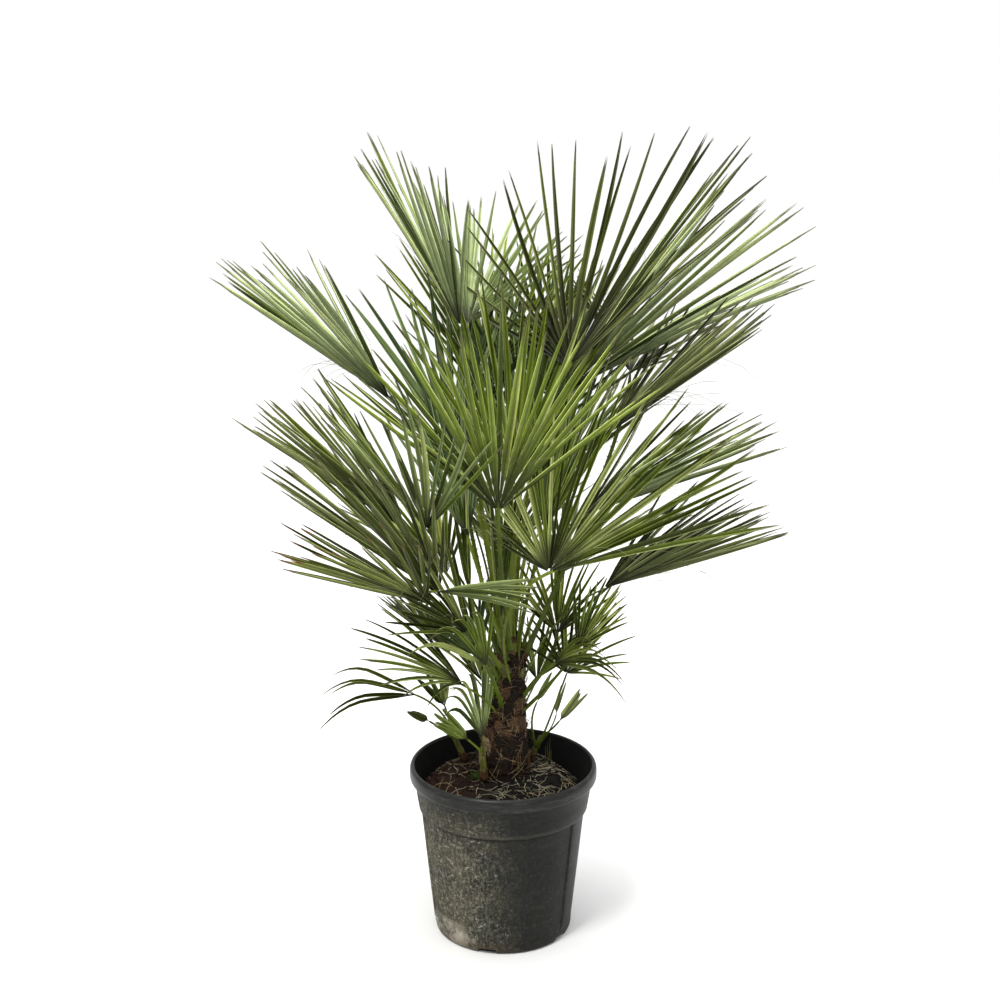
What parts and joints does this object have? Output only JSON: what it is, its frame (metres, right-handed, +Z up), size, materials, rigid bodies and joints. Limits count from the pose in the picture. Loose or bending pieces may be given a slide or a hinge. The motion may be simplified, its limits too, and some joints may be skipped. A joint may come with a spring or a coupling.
{
  "type": "potted european fan palm",
  "caption": "European fan palm with a short fibrous trunk, small shoots at its foot and stiff fan fronds on long spiny petioles, growing in a round dark nursery pot.",
  "frame": {"origin": "centre of the pot's flat underside", "axes": "+Z up the trunk, -Y towards the side the picture shows, +X to the picture's right"},
  "size_m": [1.0748, 0.9034, 1.5074],
  "materials": {
    "pot_plastic": "worn, dusty",
    "potting_soil": "crumbly",
    "trunk_fibre": "fibrous",
    "shoot_sheath": "smooth",
    "frond_leaf": "leathery"
  },
  "bodies": {
    "root": {"pot": "pot_plastic", "soil": "potting_soil", "trunk": "trunk_fibre", "front_shoot": "shoot_sheath", "left_shoot": "shoot_sheath", "right_shoot": "shoot_sheath", "back_shoot": "shoot_sheath", "back_low_1": "frond_leaf", "back_low_2": "frond_leaf", "back_low_3": "frond_leaf", "back_middle_1": "frond_leaf", "back_middle_2": "frond_leaf", "back_small_1": "frond_leaf", "back_small_2": "frond_leaf", "back_upper_1": "frond_leaf", "back_upper_2": "frond_leaf", "centre_front": "frond_leaf", "centre_tall": "frond_leaf", "front_low": "frond_leaf", "front_strap_low": "frond_leaf", "front_straps": "frond_leaf", "front_under": "frond_leaf", "inner_left": "frond_leaf", "inner_right": "frond_leaf", "left_bottom": "frond_leaf", "left_bud": "frond_leaf", "left_curling": "frond_leaf", "left_drooping": "frond_leaf", "left_inner": "frond_leaf", "left_lower_back": "frond_leaf", "left_lower_front": "frond_leaf", "left_middle": "frond_leaf", "left_small": "frond_leaf", "left_spear": "frond_leaf", "left_under": "frond_leaf", "left_under_front": "frond_leaf", "left_upper": "frond_leaf", "left_upright": "frond_leaf", "right_arching": "frond_leaf", "right_back": "frond_leaf", "right_bud_inner": "frond_leaf", "right_bud_middle": "frond_leaf", "right_bud_outer": "frond_leaf", "right_far": "frond_leaf", "right_front": "frond_leaf", "right_inner": "frond_leaf", "right_lower": "frond_leaf", "right_middle": "frond_leaf", "right_under": "frond_leaf", "right_under_back": "frond_leaf", "right_under_outer": "frond_leaf", "right_upper": "frond_leaf", "top_left": "frond_leaf", "top_middle": "frond_leaf", "top_right": "frond_leaf", "young_spear": "frond_leaf"}
  },
  "joints": []
}
